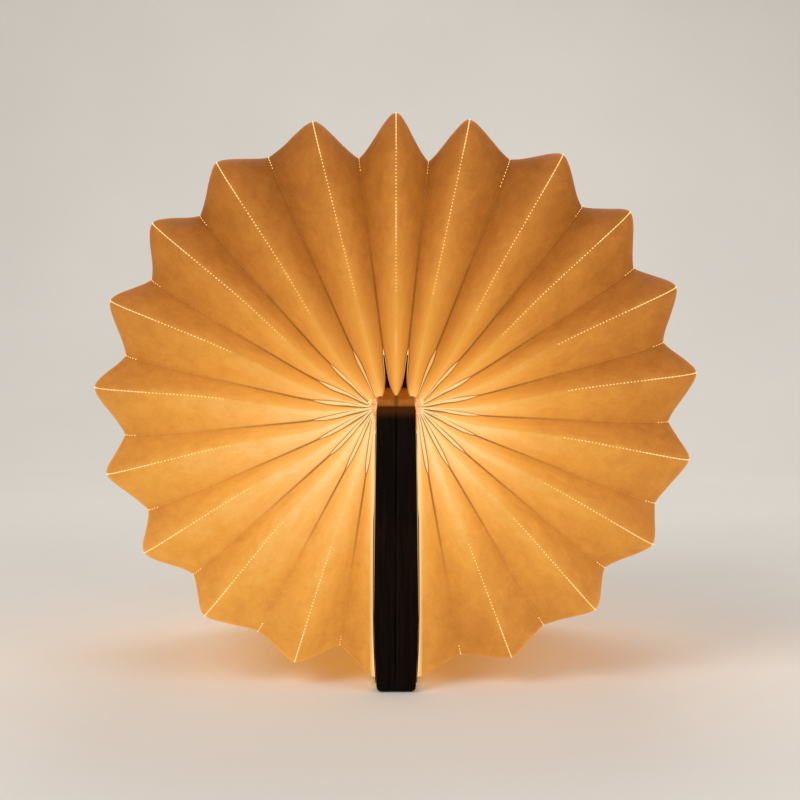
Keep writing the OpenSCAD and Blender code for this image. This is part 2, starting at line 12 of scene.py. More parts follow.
import bmesh
import bpy
import numpy as np
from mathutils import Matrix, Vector


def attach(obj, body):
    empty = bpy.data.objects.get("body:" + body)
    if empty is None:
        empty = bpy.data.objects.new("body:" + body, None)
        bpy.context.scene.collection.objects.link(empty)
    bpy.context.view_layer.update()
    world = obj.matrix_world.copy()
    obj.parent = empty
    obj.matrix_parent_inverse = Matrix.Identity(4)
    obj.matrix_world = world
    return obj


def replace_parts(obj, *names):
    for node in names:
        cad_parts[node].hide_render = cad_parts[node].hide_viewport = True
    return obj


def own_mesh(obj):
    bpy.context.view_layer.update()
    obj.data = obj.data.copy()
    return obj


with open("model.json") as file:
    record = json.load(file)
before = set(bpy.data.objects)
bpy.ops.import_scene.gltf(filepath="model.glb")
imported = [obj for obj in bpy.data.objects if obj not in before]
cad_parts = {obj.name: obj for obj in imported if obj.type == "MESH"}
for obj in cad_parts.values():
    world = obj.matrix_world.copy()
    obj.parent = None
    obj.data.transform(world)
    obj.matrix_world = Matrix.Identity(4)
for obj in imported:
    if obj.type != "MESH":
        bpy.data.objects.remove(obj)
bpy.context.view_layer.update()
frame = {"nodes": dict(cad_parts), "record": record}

MM = 0.001
WELD = 1e-6  # points closer than this, in metres, are one point

# %% [markdown]
# Every material and every Geometry Nodes tree below is wired in code. A few small
# helpers keep that readable: one adds a node and fills its inputs, four are for plain
# sums, and one turns a colour as a designer writes it into the linear numbers that
# shaders use.

# %% Small helpers for node trees


def add(tree, kind, inputs=None, **settings):
    """Adds a node, sets its options, and fills or wires its inputs."""
    node = tree.nodes.new(kind)
    for name, value in settings.items():
        setattr(node, name, value)
    for key, value in (inputs or {}).items():
        if isinstance(value, bpy.types.NodeSocket):
            tree.links.new(value, node.inputs[key])
        else:
            node.inputs[key].default_value = value
    return node


def sums(tree, operation, a, b=0.0, clamp=False):
    """One Math node's result."""
    return add(tree, "ShaderNodeMath", {0: a, 1: b}, operation=operation, use_clamp=clamp).outputs[0]


def plus(tree, a, b):
    return sums(tree, "ADD", a, b)


def minus(tree, a, b, clamp=False):
    return sums(tree, "SUBTRACT", a, b, clamp)


def times(tree, a, b):
    return sums(tree, "MULTIPLY", a, b)


def colour(code, alpha=1.0):
    """Linear colour for a hexadecimal screen colour."""
    parts = [int(code[i:i + 2], 16) / 255 for i in (1, 3, 5)]
    return [c / 12.92 if c <= 0.04045 else ((c + 0.055) / 1.055) ** 2.4 for c in parts] + [alpha]


print("a screen's middle grey is %.3f in linear light" % colour("#808080")[0])

# %% [markdown]
# ## The folds' own geometry
# The shade is one band of paper folded 20 times, so a few rules place every crease.
# Pleats are numbered from the top one, 0, to the left as 1, 2, ... and to the right as
# -1, -2, ... A ridge leans by its own angle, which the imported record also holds: each
# pleat's joint follows its cover's hinge at the share of a half turn that it leans.

# %% Read each ridge's lean from the couplings
LAST = 10
lean = {0: 0.0, LAST: 180.0, -LAST: -180.0}
for c in frame["record"]["behaviour"]["couplings"]:
    side, _, number, _ = c["joint"].split("_")
    way = 1 if side == "left" else -1
    lean[int(number) * way] = c["ratio"] * 180 * way
print("ridges:", len(lean), "leans:", [round(lean[j]) for j in sorted(lean)])

# %% [markdown]
# The sizes below repeat the CAD source's, in millimetres, and its angles are in degrees.
# The paper adds what a rigid solid leaves out: it is drawn down to the covers' top edges
# and hangs a little between its root and its rim.

# %% Sizes of the shade
HUB_Z, TOP_LIFT = 92.6, 0.3  # height of the pleats' roots, and how far the top one's lies above it
FIRST_ROOT_X, ROOT_X = 4.6, 6.6  # how far out the roots beside the top pleat stand, and the others
REACH, SHADE_L = 89.3, 120.0  # from root to rim, and from the front to the rear
BAND_TOP, BAND_LOW, SAG = 16.3, 14.4, 1.9
MEAN_SPREAD, LEAST_DEPTH = 9, 3.0  # half a whole pleat's angle, and where a wide fold ends
RIDGE_CORNER, END_CORNER, VALLEY_CORNER = 9.5, 4.5, 7.5
FRONT_START, REAR_START = 0.8, 4.4
PINCHED, LESS_PINCHED = 0.1, 0.11  # share of the band's depth at the root, and what each mm adds
COVER_EDGE = np.array([6.8, 89.7])
LEFT_HANG, RIGHT_HANG, SETTLED_R = 2.9, 2.3, 26
mid_y = (SHADE_L - BAND_TOP) / 2
print("the shade is %.1f mm across and %.0f mm deep" % (2 * (REACH + ROOT_X), SHADE_L))

# %% [markdown]
# A pleat is placed by its root on the spine and by a ray that leans as its ridge does. A
# side pleat's root is drawn down to the top edge of its cover, and the paper settles into
# its hang within the first part of its way out.

# %% Roots, rays and the paper's hang


def root(j):
    """Point on the spine, in X and Z, from which a pleat rises."""
    side = -1 if j > 0 else 1
    if j == 0:
        return np.array([0.0, HUB_Z + TOP_LIFT])
    return np.array([side * FIRST_ROOT_X, HUB_Z + TOP_LIFT / 2] if abs(j) == 1 else [side * ROOT_X, HUB_Z])


def ray(angle):
    """Unit vector, in X and Z, that leans to the left by an angle."""
    return np.array([-math.sin(math.radians(angle)), math.cos(math.radians(angle))])


def across(angle):
    """Unit vector square to a ridge's plane, towards higher numbers."""
    return np.array([-math.cos(math.radians(angle)), 0.0, -math.sin(math.radians(angle))])


def drawn_down(j):
    """How far a pleat's root is drawn down to the top edge of its cover, in X and Z."""
    if abs(j) < 2:
        return np.zeros(2)
    way, side = ray(lean[j]), across(lean[j])[[0, 2]]
    to_edge = COVER_EDGE * (-1 if j > 0 else 1, 1) - root(j)
    return side * (side @ to_edge) + way * max(way @ to_edge, 0.0)


def hang(j):
    """How far the paper hangs between its root and its rim, square to the pleat."""
    if abs(j) < 2:
        return np.zeros(2)
    side = across(lean[j])[[0, 2]]
    return side * (side @ np.array([0.0, -LEFT_HANG if j > 0 else -RIGHT_HANG]))


def settled(r):
    """How much of that hang a crease has reached at a distance from its root."""
    return np.sin(np.clip(r / SETTLED_R, 0, 1) * np.pi / 2)


print("a pleat on the left is drawn down by %.1f mm" % np.linalg.norm(drawn_down(LAST // 2)))

# %% [markdown]
# A band that keeps its width stands deep where its ridges are close together, and shallow
# where they spread, so the valleys lie further out at the rim than they do near the
# spine. At its root the paper is pinched flat, and its valleys start close to the front.

# %% How deep the folds are


def spread(j, k):
    """Half the angle between two ridges."""
    return abs(lean[j] - lean[k]) / 2


def depth(r, half_angle, width):
    """Depth of a fold of a band of some width, at a distance from its root."""
    return math.sqrt(max(width ** 2 - (r * math.sin(math.radians(half_angle))) ** 2, LEAST_DEPTH ** 2))


def ridge_y(r):
    """How far in front of the middle a ridge lies."""
    return mid_y + depth(r, MEAN_SPREAD, BAND_TOP) / 2


def band(j, k):
    """Width of the band between two ridges, which is less low down."""
    return BAND_TOP + (BAND_LOW - BAND_TOP) * abs(lean[j] + lean[k]) / 360


def valley_y(j, k, r):
    """How far in front of the middle a valley lies."""
    pinch = min(1.0, PINCHED + LESS_PINCHED * r)
    return ridge_y(r) - pinch * depth(r, spread(j, k), band(j, k))


def valley_reach(j, k):
    """How far out the valley between two ridges comes at the sides."""
    return REACH * math.cos(math.radians(spread(j, k))) - depth(REACH, spread(j, k), band(j, k))


print("first valley reaches %.1f mm" % valley_reach(0, 1))

# %% [markdown]
# A crease runs out along the front end of the shade, round a corner, along the side and
# back along the rear. Both creases of a flank get the same number of stations, so that a
# grid can be laid between them later.

# %% Stations along a crease
NEAR, ENDS, TURN, SIDE = 26, 50, 14, 12
NEAR_R = 24.0


def end_half(reach, corner, y_of, start):
    """[reach, y] points from the spine to the middle of the side."""
    turn = reach - corner
    y_turn = y_of(turn)
    grow = np.r_[np.linspace(start, NEAR_R, NEAR, endpoint=False),
                 np.linspace(NEAR_R, turn, ENDS - NEAR, endpoint=False)]
    bend = [math.radians(90 - 90 * i / TURN) for i in range(TURN + 1)]
    y_side = y_turn - corner
    return ([[r, y_of(r)] for r in grow]
            + [[turn + corner * math.cos(a), y_side + corner * math.sin(a)] for a in bend]
            + [[reach, y_side * (1 - i / SIDE)] for i in range(1, SIDE + 1)])


def whole(reach, corner, y_of):
    """The crease from the front of the spine to the rear of it."""
    front = [[r, -y] for r, y in end_half(reach, corner, y_of, FRONT_START)]
    return np.array(front + end_half(reach, corner, y_of, REAR_START)[-2::-1])


def lifted(line, base, angle, drawn, hung):
    """A [reach, y] line as points in X, Y and Z, its root moved by `drawn`, hanging by `hung`."""
    r = line[:, :1]
    flat = base + ray(angle) * r + drawn * (1 - r / r.max()) + hung
    return np.c_[flat[:, 0], line[:, 1], flat[:, 1]]


ridge_line = whole(REACH, RIDGE_CORNER, ridge_y)
end_line = whole(REACH, END_CORNER, ridge_y)
STATIONS = len(ridge_line)
print("stations on a crease:", STATIONS)

# %% [markdown]
# The half pleats at the ends lie along the covers, whose paper sides swell a little, so
# their outer crease follows that swelling, and its corners are tighter. Further out a
# ridge is firm and hangs no more, since two flanks hold it up.

# %% Ridge and valley points of any pleat
COVER_H, SWELL_Z, PAPER_SIDE, GLUE = 90, 26, 6.05, 0.5
RIDGE_HANG, FIRM_FROM, FIRM_OVER = 0.9, 12, 46


def cover_face(z):
    """How far out a cover's paper side lies at a height; it swells by 1 mm."""
    z = np.clip(z, 0, COVER_H)
    swell = 1 - ((z - SWELL_Z) / np.where(z < SWELL_Z, SWELL_Z, COVER_H - SWELL_Z)) ** 2
    return PAPER_SIDE + swell


def ridge_points(j):
    """A pleat's ridge, or the crease along the cover for an end pleat."""
    line = end_line if abs(j) == LAST else ridge_line
    r = line[:, :1]
    firm = np.clip((r - FIRM_FROM) / FIRM_OVER, 0, 1)
    hung = RIDGE_HANG * hang(j) * settled(r) * np.cos(firm * np.pi / 2) ** 2
    p = lifted(line, root(j), lean[j], drawn_down(j), hung)
    if abs(j) == LAST:
        p[:, 0] = (-1 if j > 0 else 1) * (cover_face(p[:, 2]) + GLUE)
    return p


def valley_points(j, k):
    """The valley between two pleats, which sags below the middle of their leans."""
    middle = (lean[j] + lean[k]) / 2
    sagging = middle + SAG * math.sin(math.radians(middle))
    line = whole(valley_reach(j, k), VALLEY_CORNER, lambda r: valley_y(j, k, r))
    r = line[:, :1]
    hung = (hang(j) + hang(k)) / 2 * settled(r) * (1 - (r / r.max()) ** 2)
    return lifted(line, (root(j) + root(k)) / 2, sagging, (drawn_down(j) + drawn_down(k)) / 2, hung)


print("the top of ridge 1: %.1f %.1f %.1f mm" % tuple(ridge_points(1)[ENDS + TURN]))

# %% [markdown]
# Near the spine, at the front, each valley is slit, and the paper's pale rims show as a
# narrow loop round the slit. The loops are longer towards the covers. A pleat's edge is
# its valley, drawn in by half the open slit, so that no two pleats touch.

# %% Slits, loops and edges
LOOP_W, LOOP_R, LOW_LOOP, TOP_LOOP = 0.95, 16.4, 6.6, 1.6  # the last two: longer low down, shorter on top
LOOP_START, LOOP_GROWS, LOOP_CLOSES, LOOP_TIP = 0.08, 13, 4, 0.6
NARROW_OPEN, WIDE_OPEN, ROOT_FADE = 0.1, 0.4, 3.2
SEAM, TIP_W = 0.02, 0.06


def loop_half(j, k):
    """Half the width of the pale loop round the slit between two pleats, at the front."""
    r = ridge_line[:, 0]
    lower = LOW_LOOP * math.sin(math.radians(abs(lean[j] + lean[k]) / 4)) ** 2
    end = LOOP_R + lower - (TOP_LOOP if j * k == 0 else 0)
    closing = np.clip((end - r) / LOOP_CLOSES, 0, 1) ** LOOP_TIP
    grow = np.clip(LOOP_START + r / LOOP_GROWS, 0, 1)
    return LOOP_W / 2 * grow * closing * (np.arange(STATIONS) < STATIONS / 2)


def open_share(j, k):
    """Share of a loop that is open; the rest is the paper's pale rims."""
    return NARROW_OPEN if {abs(j), abs(k)} == {1, 2} else WIDE_OPEN


def slit_half(j, k):
    """Half the open slit, which is wide where two roots stand apart beside the top pleat."""
    loop = loop_half(j, k)
    apart = np.linalg.norm(root(j) - root(k)) / 2 if j * k == 0 else 0.0
    return open_share(j, k) * loop + apart * np.exp(-ridge_line[:, 0] / ROOT_FADE) * (loop > 0)


def edge_points(j, k):
    """Where pleat j's flank towards pleat k ends: the valley, drawn in beside the slit."""
    side = across(lean[j]) * (1 if k > j else -1)
    ridge = ridge_points(j)
    to_valley = valley_points(j, k) - ridge
    sideways = to_valley @ side
    wide = np.maximum(TIP_W, sideways - SEAM / 2 - slit_half(j, k))
    return ridge + (to_valley - np.outer(sideways, side)) + np.outer(wide, side)


def rims(j, k):
    """Width of the pale rim that is left of the loop beside the slit, in metres."""
    return (1 - open_share(j, k)) * loop_half(j, k) * MM


print("widest rim beside a slit: %.2f mm" % (rims(4, 5).max() / MM))

# %% [markdown]
# ## Materials
# The lamp's looks are mostly paper lit from behind. Paper that thin glows more where it
# is close to the light and less towards the rim, and it glows more low down, where the
# flanks and the covers throw light back on each other. A ramp from brown to pale amber
# turns that glow into a colour, which is used both as the paper's own colour and as the
# light it gives off.

# %% Start a material


def material(name, roughness=0.6, **values):
    """A new material and its Principled shader, with plain values set on the sockets."""
    m = bpy.data.materials.new(name)
    m.use_nodes = True
    shader = m.node_tree.nodes["Principled BSDF"]
    shader.inputs["Roughness"].default_value = roughness
    for key, value in values.items():
        shader.inputs[key.replace("_", " ")].default_value = value
    return m, m.node_tree, shader


def here(tree):
    """The shaded point in Object coordinates, which are metres in the lamp's own frame."""
    return add(tree, "ShaderNodeTexCoord").outputs["Object"]


def ramp(tree, factor, stops):
    """A colour ramp from (position, hexadecimal colour) stops."""
    node = add(tree, "ShaderNodeValToRGB", {0: factor})
    marks = node.color_ramp.elements
    while len(marks) < len(stops):
        marks.new(0.5)
    for mark, (place, code) in zip(marks, stops):
        mark.position, mark.color = place, colour(code)
    return node.outputs["Color"]


def noise(tree, where, scale, detail=4.0, roughness=0.55, distortion=0.0):
    """Noise from 0 to 1 at a place, with its scale in lumps per metre."""
    return add(tree, "ShaderNodeTexNoise", {"Vector": where, "Scale": scale, "Detail": detail,
               "Roughness": roughness, "Distortion": distortion}).outputs["Fac"]


def stretched(tree, where, shares):
    """A place whose axes are shortened, so that a pattern on it is drawn out along them."""
    return add(tree, "ShaderNodeMapping", {"Vector": where, "Scale": shares}).outputs[0]


def bump(tree, shader, height, distance, strength=1.0):
    """Relief of a given depth in metres."""
    node = add(tree, "ShaderNodeBump", {"Height": height, "Distance": distance, "Strength": strength})
    tree.links.new(node.outputs["Normal"], shader.inputs["Normal"])


def between(tree, value, low, high, to_low=0.0, to_high=1.0):
    """A smooth step of a value between two bounds."""
    return add(tree, "ShaderNodeMapRange", {"Value": value, "From Min": low, "From Max": high,
               "To Min": to_low, "To Max": to_high}, interpolation_type="SMOOTHSTEP").outputs[0]


def blend_colour(tree, factor, a, b, how="MIX"):
    """Colour a turned into colour b by a share."""
    node = add(tree, "ShaderNodeMix", {0: factor}, data_type="RGBA", blend_type=how)
    for socket, value in ((node.inputs[6], a), (node.inputs[7], b)):
        if isinstance(value, bpy.types.NodeSocket):
            tree.links.new(value, socket)
        else:
            socket.default_value = value
    return node.outputs[2]


def attribute(tree, name):
    """A value that was stored on the mesh when it was made."""
    return add(tree, "ShaderNodeAttribute", attribute_name=name).outputs["Fac"]


def lights_itself(tree, shader, tone):
    """Uses one colour as the surface's own colour and as the light it gives off."""
    tree.links.new(tone, shader.inputs["Base Color"])
    tree.links.new(tone, shader.inputs["Emission Color"])


print("materials that came with the solids:", len(bpy.data.materials))

# %% [markdown]
# The glow reads the point's distance from the spine and its height, both from Object
# coordinates. Attributes made with the mesh give the rest, in metres or as shares: how far
# a point is from its ridge and from its edge, how far down its flank it lies, how much it
# faces up, and how far round the rim's corner it is. From these come painted shade down
# each flank and on the flanks that face up, and a painted highlight round the rim's corner.
# The right side stands a little further from the light than the left, so it is dimmer. Clouds
# and fibres mottle it all, as in paper that is made by hand.

# %% How much the paper glows
paper, tree, shader = material("lit mulberry paper", 0.75, Specular_IOR_Level=0.2, Emission_Strength=0.78)
where = here(tree)
x, y, z = add(tree, "ShaderNodeSeparateXYZ", {0: where}).outputs
up = minus(tree, z, HUB_Z * MM)
away = sums(tree, "SQRT", plus(tree, sums(tree, "POWER", x, 2.0), sums(tree, "POWER", up, 2.0)))
upness = times(tree, sums(tree, "DIVIDE", up, away), 0.5)
low = minus(tree, 0.5, upness, clamp=True)  # 0 straight above the spine, 1 straight below
flank_share, faces_up = attribute(tree, "flank_share"), attribute(tree, "faces_up")
corner_share = attribute(tree, "corner_share")

AT_SPINE, PER_METRE = 0.74, 5.9  # glow at the spine, and what it loses on its way out
LOW_GAIN, BY_COVERS, ON_RIGHT = 0.34, 0.12, 0.13
glow = minus(tree, AT_SPINE, times(tree, away, PER_METRE))
glow = plus(tree, glow, between(tree, low, 0.08, 0.75, 0.0, LOW_GAIN))
glow = minus(tree, glow, between(tree, low, 0.93, 1.0, 0.0, BY_COVERS))
right_side = times(tree, between(tree, x, 0.006, 0.03), between(tree, low, 0.05, 0.45))
right_side = times(tree, right_side, between(tree, away, 0.026, 0.055, 0.02, ON_RIGHT))
glow = minus(tree, glow, right_side)

TOP_FLANK, LOW_FLANK, UP_FACING_SHADE, RIM_CORNER_LIGHT = 0.27, 0.11, 0.09, 0.15
CLOUDY, FIBROUS = 0.34, 0.14
# painted shade: the glow falls away down each flank towards its valley, most on the top pleats
flank = times(tree, flank_share, between(tree, low, 0.02, 0.35, TOP_FLANK, LOW_FLANK))
glow = minus(tree, glow, flank)
# painted shade on flanks that face up, and painted light on those that face down
glow = minus(tree, glow, times(tree, faces_up, UP_FACING_SHADE))
clouds = noise(tree, where, 150, 6, 0.68, 0.3)
fibres = noise(tree, stretched(tree, where, (1, 0.35, 1)), 900, 3, 0.6, 1.5)
mottle = plus(tree, times(tree, minus(tree, clouds, 0.5), CLOUDY),
              times(tree, minus(tree, fibres, 0.5), FIBROUS))
glow = plus(tree, glow, times(tree, mottle, between(tree, away, 0.015, 0.05, 0.35, 1.0)))
# painted highlight round the rim's corner
glow = plus(tree, glow, between(tree, corner_share, 0.55, 0.95, 0.0, RIM_CORNER_LIGHT))
lit = ramp(tree, glow, [(0.0, "#945419"), (0.2, "#b36c27"), (0.4, "#cf8635"), (0.6, "#e9a143"),
                        (0.8, "#faba61"), (0.9, "#fbcb80"), (1.0, "#fbdb96")])
print("nodes for the glow:", len(tree.nodes))

# %% [markdown]
# Thin lines finish the paper. Near the rim a pale line of painted light runs along each ridge,
# where light leaks through the fold. Two layers meet in a valley, whose groove lies in
# shade, so it shows as a dark line that is partly the double layer and partly painted shade,
# which fades on its way out. The rims of the slits and the inner side of the sheet are cream,
# paler low down where more light falls, and so is the strip right beside the covers, which
# throw their light on it. All widths and distances here are in metres.

# %% Lines and rims on the paper
from_edge, from_ridge = attribute(tree, "from_edge"), attribute(tree, "from_ridge")
rim, inside = attribute(tree, "rim"), attribute(tree, "inside")
past_rim = minus(tree, from_edge, rim)

# painted light: a pale line along each ridge near the rim, where light leaks through the fold
ridge_light = times(tree, between(tree, from_ridge, 0.00006, 0.0002, 1.0, 0.0),
               between(tree, away, 0.076, 0.081, 0.0, 0.75))
lit = blend_colour(tree, ridge_light, lit, colour("#ffe2a0"))

# a dark line in each valley, partly the double layer of paper and partly painted shade in the groove
valley_shade_w = minus(tree, 1.05, times(tree, faces_up, 0.45))
valley_shade_w = times(tree, valley_shade_w, between(tree, away, 0.004, 0.014, 0.00018, 0.00034))
line = minus(tree, 1.0, sums(tree, "DIVIDE", past_rim, valley_shade_w), clamp=True)
line = times(tree, sums(tree, "POWER", line, 0.7), between(tree, away, 0.03, 0.07, 0.9, 0.0))
lit = blend_colour(tree, line, lit, colour("#7a3c08"))

# cream that is paler low down, where more light falls: painted light
cream = blend_colour(tree, between(tree, low, 0.05, 0.6), colour("#edb870"), colour("#fdda98"))
in_rim = times(tree, between(tree, past_rim, -0.00005, 0.0, 1.0, 0.0),
               between(tree, rim, 0.00001, 0.00004))
lit = blend_colour(tree, sums(tree, "MAXIMUM", in_rim, inside), lit, cream)
by_cover = between(tree, sums(tree, "ABSOLUTE", x), 0.0073, 0.0086, 0.75, 0.0)
by_cover = times(tree, by_cover, between(tree, z, 0.08, 0.088, 1.0, 0.0))
lit = blend_colour(tree, by_cover, lit, cream)

own = blend_colour(tree, 1.0, lit, (0.3, 0.3, 0.3, 1), "MULTIPLY")
tree.links.new(own, shader.inputs["Base Color"])
tree.links.new(lit, shader.inputs["Emission Color"])
bump(tree, shader, plus(tree, clouds, times(tree, fibres, 0.4)), 0.00025, 0.7)
print("paper nodes:", len(tree.nodes))

# %% [markdown]
# Light leaks through the pinholes along each fold as small bright dots. Real holes in so
# thin a sheet would need a very fine mesh, so each dot is a small glowing bead in the
# fold. Its tone drifts from dot to dot, and is duller close to the spine.

# %% Light in the pinholes
pin_light, tree, shader = material("light in the pinholes", 0.5, Emission_Strength=0.8)
where = here(tree)
dots = ramp(tree, noise(tree, where, 400, 2), [(0.3, "#ffc873"), (0.7, "#ffdf9f")])
away = add(tree, "ShaderNodeVectorMath", {0: where, 1: (0, 0, HUB_Z * MM)}, operation="SUBTRACT").outputs[0]
away = add(tree, "ShaderNodeVectorMath", {0: away, 1: (1, 0, 1)}, operation="MULTIPLY").outputs[0]
away = add(tree, "ShaderNodeVectorMath", {0: away}, operation="LENGTH").outputs["Value"]
dots = blend_colour(tree, between(tree, away, 0.038, 0.07), colour("#edb058"), dots)
lights_itself(tree, shader, dots)
print("pinhole nodes:", len(tree.nodes))

# %% [markdown]
# ## One pleat as a Geometry Nodes tree
# Every pleat obeys the same rule, so one tree makes them all. The mesh that goes in holds
# only crease lines: three rows of points, for the left edge, the ridge and the right
# edge. The tree lays a grid between them, rounds the ridge, gives each flank its gentle
# S, crinkles it, and gives it the paper's thickness. Where the incoming points are
# joined by edges, it also sets a line of pinholes.

# %% Build the pleat tree


def group_inputs(tree, wanted):
    """Makes the tree's interface and returns (Group Input's sockets, identifiers by name)."""
    tree.interface.new_socket("Geometry", in_out="OUTPUT", socket_type="NodeSocketGeometry")
    tree.interface.new_socket("Geometry", in_out="INPUT", socket_type="NodeSocketGeometry")
    ids = {}
    for name, kind in wanted.items():
        socket = tree.interface.new_socket(name, in_out="INPUT", socket_type="NodeSocket" + kind)
        ids[name] = socket.identifier
    return tree.nodes.new("NodeGroupInput").outputs, ids


def vectors(tree, operation, a, b=None, scale=None):
    """One Vector Math node's result."""
    inputs = {0: a}
    if b is not None:
        inputs[1] = b
    if scale is not None:
        inputs["Scale"] = scale
    node = add(tree, "ShaderNodeVectorMath", inputs, operation=operation)
    return node.outputs["Value" if operation in ("DOT_PRODUCT", "LENGTH") else "Vector"]


t = pleat_tree = bpy.data.node_groups.new("Folded pleat", "GeometryNodeTree")
given, PLEAT = group_inputs(t, {
    "Stations": "Int", "Corner start": "Int", "Corner steps": "Int", "Steps": "Int",
    "Across": "Vector", "Paper thickness": "Float",
    "Ridge rounding": "Float", "Flank curve": "Float", "Crinkle height": "Float",
    "Crinkle size": "Float", "Seed": "Int", "Pinhole pitch": "Float",
    "Pinhole width": "Float", "Paper": "Material", "Light": "Material"})
columns = plus(t, times(t, given["Steps"], 2.0), 1.0)
grid = add(t, "GeometryNodeMeshGrid", {"Vertices X": given["Stations"], "Vertices Y": columns})
index = add(t, "GeometryNodeInputIndex").outputs[0]
station = sums(t, "FLOOR", sums(t, "DIVIDE", plus(t, index, 0.5), columns))
column = minus(t, index, times(t, station, columns))
signed = minus(t, sums(t, "DIVIDE", column, given["Steps"]), 1.0)
share = sums(t, "ABSOLUTE", signed)
row = plus(t, sums(t, "SIGN", signed), 1.0)
print("pleat tree inputs:", ", ".join(PLEAT))

# %% [markdown]
# Sample Index reads a crease point by its number: row times stations, plus station. A
# flank's height falls away from the ridge along a curve, while its width grows evenly.
# Close to the ridge that curve is rounded off, by less where a flank is narrow.

# %% Shape the flanks
MOST_ROUND, LEAST_WIDTH = 0.22, 0.0001


def of_crease(row_number, value, kind):
    """A value at this station of one of the crease rows."""
    number = plus(t, times(t, row_number, given["Stations"]), station)
    node = add(t, "GeometryNodeSampleIndex", {0: given["Geometry"], "Value": value, "Index": number},
               data_type=kind, domain="POINT")
    return node.outputs[0]


def crease_point(row_number):
    """The place of this station on one of the crease rows."""
    return of_crease(row_number, add(t, "GeometryNodeInputPosition").outputs[0], "FLOAT_VECTOR")


ridge = crease_point(1.0)
to_edge = vectors(t, "SUBTRACT", crease_point(row), ridge)
width = vectors(t, "DOT_PRODUCT", to_edge, given["Across"])
flank_width = sums(t, "ABSOLUTE", width)
sideways = vectors(t, "SCALE", given["Across"], scale=width)
fall = vectors(t, "SUBTRACT", to_edge, sideways)
ease = add(t, "ShaderNodeMapRange", {"Value": share}, interpolation_type="SMOOTHSTEP").outputs[0]
curve = plus(t, times(t, ease, given["Flank curve"]),
             times(t, share, minus(t, 1.0, given["Flank curve"])))
e = sums(t, "MINIMUM", MOST_ROUND,
         sums(t, "DIVIDE", given["Ridge rounding"], sums(t, "MAXIMUM", LEAST_WIDTH, flank_width)))
e2 = times(t, e, e)
soft = minus(t, sums(t, "SQRT", plus(t, times(t, curve, curve), e2)), e)
full = minus(t, sums(t, "SQRT", plus(t, 1.0, e2)), e)
drop = sums(t, "DIVIDE", soft, full)
place = vectors(t, "ADD", ridge, vectors(t, "ADD", vectors(t, "SCALE", sideways, scale=share),
                                         vectors(t, "SCALE", fall, scale=drop)))
sheet = add(t, "GeometryNodeSetPosition", {"Geometry": grid.outputs["Mesh"], "Position": place}).outputs[0]
print("nodes once the flanks are shaped:", len(t.nodes))

# %% [markdown]
# The paper's material needs to know where on its pleat a point lies, so the tree stores
# that on the mesh. On the ridge itself the distance from the edge is made large, so that
# no dark line shows there where a flank has almost no width.

# %% Store what the paper's material reads
FAR = 0.01
last_station = minus(t, given["Stations"], 1.0)
from_ends = sums(t, "MINIMUM", station, minus(t, last_station, station))
past_start = minus(t, from_ends, given["Corner start"])
on_ridge = times(t, sums(t, "LESS_THAN", share, 0.01), FAR)
to_edge_w = times(t, minus(t, 1.0, share), flank_width)
rim_mark = add(t, "GeometryNodeInputNamedAttribute", {"Name": "rim"}, data_type="FLOAT").outputs[0]
facing = add(t, "GeometryNodeInputNormal").outputs[0]
told = {
    "flank_share": share,
    "corner_share": sums(t, "DIVIDE", past_start, given["Corner steps"], clamp=True),
    "faces_up": add(t, "ShaderNodeSeparateXYZ", {0: facing}).outputs["Z"],
    "rim": of_crease(row, rim_mark, "FLOAT"),
    "from_ridge": times(t, share, flank_width),
    "from_edge": plus(t, to_edge_w, on_ridge),
}
for name, value in told.items():
    sheet = add(t, "GeometryNodeStoreNamedAttribute", {"Geometry": sheet, "Name": name, "Value": value},
                data_type="FLOAT", domain="POINT").outputs[0]
print("stored on the mesh:", ", ".join(told))

# %% [markdown]
# The crinkle is noise pushed along the surface's own normal. It fades out at the creases,
# so that neighbours still meet. Extruding inwards, turning that copy over and merging it
# with the first surface closes the sheet into a thin solid.

# %% Crinkle and thicken the paper
SEED_STEP = 7.3
home = add(t, "GeometryNodeInputPosition").outputs[0]
crinkle = add(t, "ShaderNodeTexNoise", {"Vector": home, "W": times(t, given["Seed"], SEED_STEP),
              "Scale": sums(t, "DIVIDE", 1.0, given["Crinkle size"]), "Detail": 3.0, "Roughness": 0.5},
              noise_dimensions="4D").outputs[0]
fade = times(t, times(t, share, minus(t, 1.0, share)), 4.0)
push = times(t, minus(t, crinkle, 0.5), fade)
push = times(t, push, given["Crinkle height"])
offset = vectors(t, "SCALE", add(t, "GeometryNodeInputNormal").outputs[0], scale=push)
sheet = add(t, "GeometryNodeSetPosition", {"Geometry": sheet, "Offset": offset}).outputs[0]

thickness = times(t, given["Paper thickness"], -1.0)
inner = add(t, "GeometryNodeExtrudeMesh", {"Mesh": sheet, "Offset Scale": thickness, "Individual": False})
to_rear = sums(t, "GREATER_THAN", add(t, "ShaderNodeSeparateXYZ", {0: home}).outputs["Y"], 0.0)
inner_side = sums(t, "MAXIMUM", inner.outputs["Top"], to_rear)
inner = add(t, "GeometryNodeStoreNamedAttribute", {"Geometry": inner.outputs["Mesh"], "Name": "inside",
            "Value": 1.0, "Selection": inner_side}, data_type="FLOAT", domain="FACE").outputs[0]
inner = add(t, "GeometryNodeFlipFaces", {0: inner}).outputs[0]
both = add(t, "GeometryNodeJoinGeometry")
t.links.new(inner, both.inputs[0])
t.links.new(sheet, both.inputs[0])
solid = add(t, "GeometryNodeMergeByDistance", {"Geometry": both.outputs[0], "Distance": WELD}).outputs[0]
solid = add(t, "GeometryNodeSetShadeSmooth", {"Geometry": solid}).outputs[0]
solid = add(t, "GeometryNodeSetMaterial", {"Geometry": solid, "Material": given["Paper"]}).outputs[0]
print("nodes once the sheet is solid:", len(t.nodes))

# %% [markdown]
# The incoming edges become curves, and a bead is set at every pitch along them. The beads
# differ a little in length, as holes made with a needle do.

